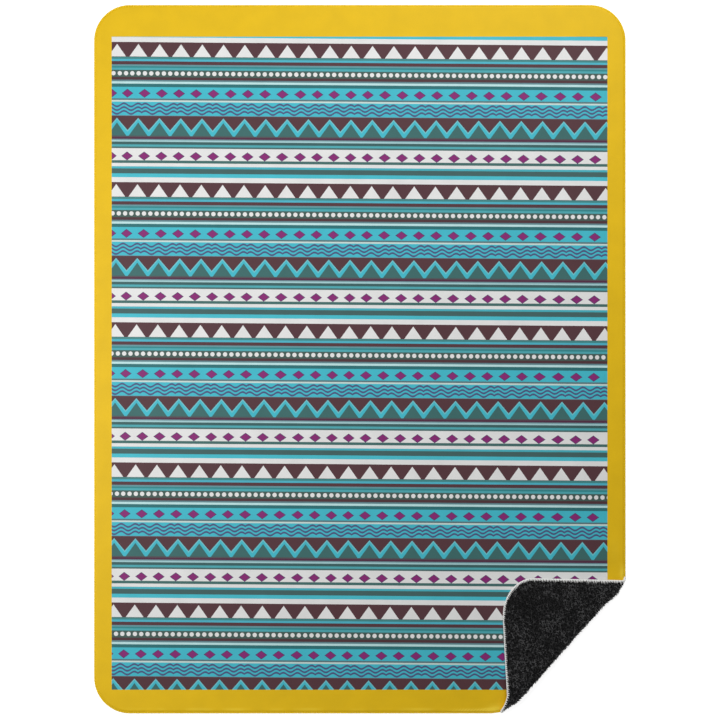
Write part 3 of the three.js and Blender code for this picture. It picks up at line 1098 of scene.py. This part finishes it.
# One stitch's path: share of a pitch along, depth in from the rim, and side
stitch_path = np.array(
    [
        (0.40, STITCH_REACH, 0.03),
        (0.34, 0.0038, -0.07),
        (0.26, 0.0016, -0.10),
        (0.20, -0.0008, 0.12),
        (0.18, -0.0013, 0.50),
        (0.20, -0.0008, 0.88),
        (0.26, 0.0016, 1.10),
        (0.34, 0.0038, 1.07),
        (0.40, STITCH_REACH, 0.97),
        (0.42, STITCH_REACH + 0.0002, 1.00),
        (0.44, STITCH_REACH, 0.97),
        (0.50, 0.0038, 1.07),
        (0.58, 0.0016, 1.10),
        (0.64, -0.0008, 0.88),
        (0.66, -0.0013, 0.50),
        (0.64, -0.0008, 0.12),
        (0.58, 0.0016, -0.10),
        (0.50, 0.0038, -0.07),
        (0.44, STITCH_REACH, 0.03),
    ]
)
pitch = rim_length / STITCH_COUNT
path_points = len(stitch_path)
pull = rng.uniform(*STITCH_PULL, (STITCH_COUNT, 1))
shift = rng.uniform(-STITCH_SHIFT, STITCH_SHIFT, (STITCH_COUNT, 1))
stitch_run = (np.arange(STITCH_COUNT)[:, None] + shift + stitch_path[:, 0]) * pitch
lean = STITCH_LEAN * pitch * (stitch_path[:, 1] / STITCH_REACH)
stitch_run = (stitch_run - lean).ravel()
at_hem = ease(stitch_run, hem_end - HEM_TAPER, hem_end)
at_hem = at_hem.reshape(STITCH_COUNT, path_points)
pull = np.where(stitch_path[:, 1] > 0, pull * (1 - STITCH_BITE * at_hem), 1)
stitch_depth = (stitch_path[:, 1] * pull).ravel()
stitch_side = np.tile(stitch_path[:, 2], STITCH_COUNT)
stitch_x, stitch_y = rim_point(stitch_run, stitch_depth)
stitch_centre = lay(stitch_x, stitch_y, seam_height(stitch_depth, stitch_side))
centres = stitch_centre.reshape(STITCH_COUNT, path_points, 3)
under_x, under_y = rim_point(stitch_run, np.full_like(stitch_run, SEAM_INSIDE))
seam_middle = lay(under_x, under_y, np.full_like(under_x, SEAM_HIGH / 2))
outward = (stitch_centre - seam_middle).reshape(centres.shape)
tangent = np.gradient(centres, axis=1)
tangent /= np.linalg.norm(tangent, axis=2, keepdims=True)
wide = np.cross(tangent, outward)
wide /= np.maximum(np.linalg.norm(wide, axis=2, keepdims=True), 1e-9)
high = np.cross(wide, tangent)
thread_ring = [(1, 0), (0, 1), (-1, 0), (0, -1)]
thread_wide = THREAD_WIDE + (THREAD_END - THREAD_WIDE) * ease(
    stitch_depth.reshape(STITCH_COUNT, path_points, 1), THREAD_TAPER, STITCH_REACH
)
rings = [wide * (a * thread_wide) + high * (b * THREAD_HIGH) for a, b in thread_ring]
stitch_points = np.stack([centres + ring for ring in rings], axis=2).reshape(-1, 3)
stitch_points[:, 2] = np.maximum(stitch_points[:, 2], THREAD_CLEAR)
ring_index = np.arange(path_points * 4).reshape(path_points, 4)
around = np.roll(ring_index, -1, axis=1)
stitch_faces = np.stack(
    (ring_index[:-1], ring_index[1:], around[1:], around[:-1]), axis=-1
).reshape(-1, 4)

stitch_mesh, stitch_corners = tile_mesh(
    "overlock_stitches", stitch_points, stitch_faces, STITCH_COUNT, smooth=False
)
ring_share = np.tile((0.1, 0.5, 0.9, 0.5), path_points)
path_share = np.repeat(np.arange(path_points) / (path_points - 1), 4)
stitch_local = np.tile(np.stack((path_share, ring_share), axis=1), (STITCH_COUNT, 1))
map_in_cells(stitch_mesh, stitch_corners, stitch_local, STITCH_COUNT)
face_side = stitch_mesh.attributes.new("face_side", "FLOAT", "POINT")
from_top = np.hypot(stitch_x - fold_top[0], stitch_y - fold_top[1])
shown_side = stitch_side * ease(from_top, WHITE_REACH - WHITE_EDGE, WHITE_REACH)
shown_side = np.where(level_of(stitch_x, stitch_y) > 0, 0, shown_side)
face_side.data.foreach_set("value", np.repeat(shown_side, 4))
stitches = bpy.data.objects.new("overlock_stitches", stitch_mesh)
bpy.context.collection.objects.link(stitches)

bed_mesh, _ = tile_mesh("overlock_bed", bed_places, bed_faces, 1)
face_side = bed_mesh.attributes.new("face_side", "FLOAT", "POINT")
bed_side = np.where(level_of(bed_x, bed_y) > 0, 0, bed_side)
face_side.data.foreach_set("value", bed_side)
overlock_bed = bpy.data.objects.new("overlock_bed", bed_mesh)
bpy.context.collection.objects.link(overlock_bed)

thread_paint, tree, shader = new_material("overlock_thread", 0.8, 0.15, 0.4)
side = add_node(tree, "ShaderNodeAttribute", attribute_name="face_side").outputs["Fac"]
place = add_node(tree, "ShaderNodeTexCoord").outputs["Object"]
fibre = add_node(
    tree, "ShaderNodeTexNoise", {"Vector": place, "Scale": 1500.0, "Detail": 3.0}
)
mixed = calc(tree, "MULTIPLY_ADD", fibre.outputs[0], 0.2, side)
thread_colour = ramp(
    tree,
    mixed,
    (
        (0.0, srgb(253, 253, 251)),
        (0.66, srgb(252, 251, 247)),
        (0.74, srgb(250, 214, 46)),
        (1.0, srgb(248, 210, 36)),
    ),
)
tree.links.new(thread_colour, shader.inputs["Base Color"])
connect_bump(tree, shader, fibre.outputs[0], 0.5, 0.0003)
stitch_mesh.materials.append(thread_paint)
bed_mesh.materials.append(thread_paint)
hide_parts("edge_overlock")
for piece in (stitches, overlock_bed):
    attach(piece, "root")
